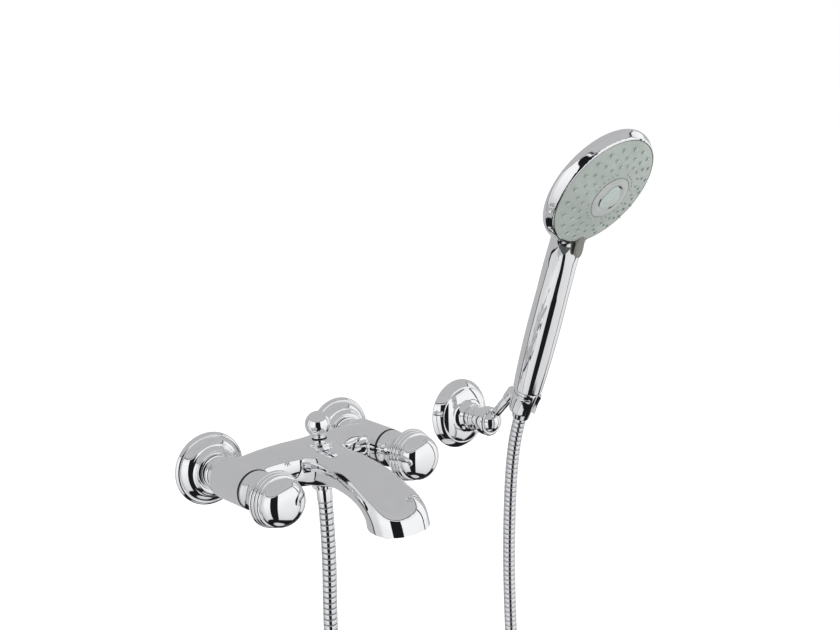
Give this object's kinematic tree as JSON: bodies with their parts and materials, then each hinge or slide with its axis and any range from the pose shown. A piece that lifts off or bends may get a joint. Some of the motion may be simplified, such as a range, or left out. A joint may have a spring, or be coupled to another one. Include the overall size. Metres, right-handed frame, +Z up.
{
  "type": "bath shower mixer tap",
  "caption": "Exposed wall-mounted bath mixer with round handles, broad curved spout, diverter knob, ribbed hose, wall bracket with ball joint and hand shower.",
  "frame": {"origin": "midway between the two inlet axes, on the finished wall's plane", "axes": "+X along the wall to the user's right, -Y out of the wall to the user, +Z up"},
  "size_m": [0.4157, 0.2957, 0.8653],
  "materials": {
    "chrome": "polished chrome plate on brass",
    "hose_steel": "polished ribbed hose",
    "chromed_plastic": "chrome-plated plastic, polished",
    "brass": "machined brass",
    "steel": "zinc-plated steel",
    "ceramic": "lapped white ceramic",
    "black_rubber": "matt black rubber",
    "black_plastic": "satin black plastic",
    "face_plastic": "satin grey-green plastic",
    "grey_plastic": "satin grey plastic",
    "pale_plastic": "satin pale grey plastic",
    "nozzle_rubber": "soft grey rubber"
  },
  "bodies": {
    "mixer": {"mixer_body": "chrome", "wall_union_left": "brass", "wall_union_right": "brass", "coupling_nut_left": "chrome", "coupling_nut_right": "chrome", "wall_flange_left": "chrome", "wall_flange_right": "chrome", "union_washers": "black_rubber", "valve_cartridge_hot": "brass", "valve_cartridge_cold": "brass", "ceramic_seats": "ceramic", "valve_seals": "black_rubber", "glide_rings": "black_plastic", "diverter_collar": "chrome", "diverter_seal": "black_rubber", "hose_outlet": "chrome", "hose_ferrule": "chrome", "hose_washer_lower": "black_rubber", "aerator_housing": "chrome", "aerator_insert": "black_plastic", "aerator_washer": "black_rubber", "bracket_plate": "steel", "bracket_screws": "steel", "bracket_flange": "chrome", "bracket_neck": "chrome", "bracket_collar": "chrome", "hose_lower": "hose_steel"},
    "hot_handle": {"handle_hot": "chrome", "handle_cap_hot": "chrome", "handle_screw_hot": "steel", "valve_spindle_hot": "brass", "ceramic_disc_hot": "ceramic"},
    "cold_handle": {"handle_cold": "chrome", "handle_cap_cold": "chrome", "handle_screw_cold": "steel", "valve_spindle_cold": "brass", "ceramic_disc_cold": "ceramic"},
    "diverter": {"diverter_knob": "chrome", "diverter_stem": "brass", "diverter_piston": "black_rubber"},
    "liner": {"ball_liner": "black_plastic", "hose_middle": "hose_steel"},
    "arm": {"bracket_arm": "chrome", "handset_holder": "chrome", "hose_upper": "hose_steel"},
    "handset": {"handset_shell": "chromed_plastic", "handset_marker": "grey_plastic", "handset_inlet": "brass", "handset_tube": "pale_plastic", "hose_cone_nut": "chromed_plastic", "hose_washer_upper": "black_rubber", "flow_disc": "pale_plastic"},
    "spray": {"spray_face": "face_plastic", "spray_nozzles": "nozzle_rubber", "centre_ring": "grey_plastic", "centre_jet": "pale_plastic"}
  },
  "joints": [
    {"name": "handle_hot_turn", "type": "hinge", "parent": "mixer", "child": "hot_handle", "pos_m": [-0.075, -0.1, 0], "axis": [0, -1, 0], "range_deg": [0, 180]},
    {"name": "handle_cold_turn", "type": "hinge", "parent": "mixer", "child": "cold_handle", "pos_m": [0.075, -0.1, 0], "axis": [0, -1, 0], "range_deg": [-180, 0]},
    {"name": "diverter_lift", "type": "slide", "parent": "mixer", "child": "diverter", "axis": [0, 0, 1], "range_m": [0, 0.009]},
    {"name": "bracket_pan", "type": "hinge", "parent": "mixer", "child": "liner", "pos_m": [0.2423, -0.053, -0.021], "axis": [0, 0, 1], "range_deg": [-12, 12], "deforming": ["hose_lower"]},
    {"name": "bracket_tilt", "type": "hinge", "parent": "liner", "child": "arm", "pos_m": [0.2423, -0.053, -0.021], "axis": [1, 0, 0], "range_deg": [-3, 45], "deforming": ["hose_middle"]},
    {"name": "handset_lift", "type": "slide", "parent": "arm", "child": "handset", "axis": [0, -0.3746, 0.9272], "range_m": [0, 0.03], "deforming": ["hose_upper"]},
    {"name": "spray_select", "type": "hinge", "parent": "handset", "child": "spray", "pos_m": [0.2423, -0.23223, 0.23461], "axis": [0, -0.8039, -0.5948], "range_deg": [-20, 20]}
  ]
}
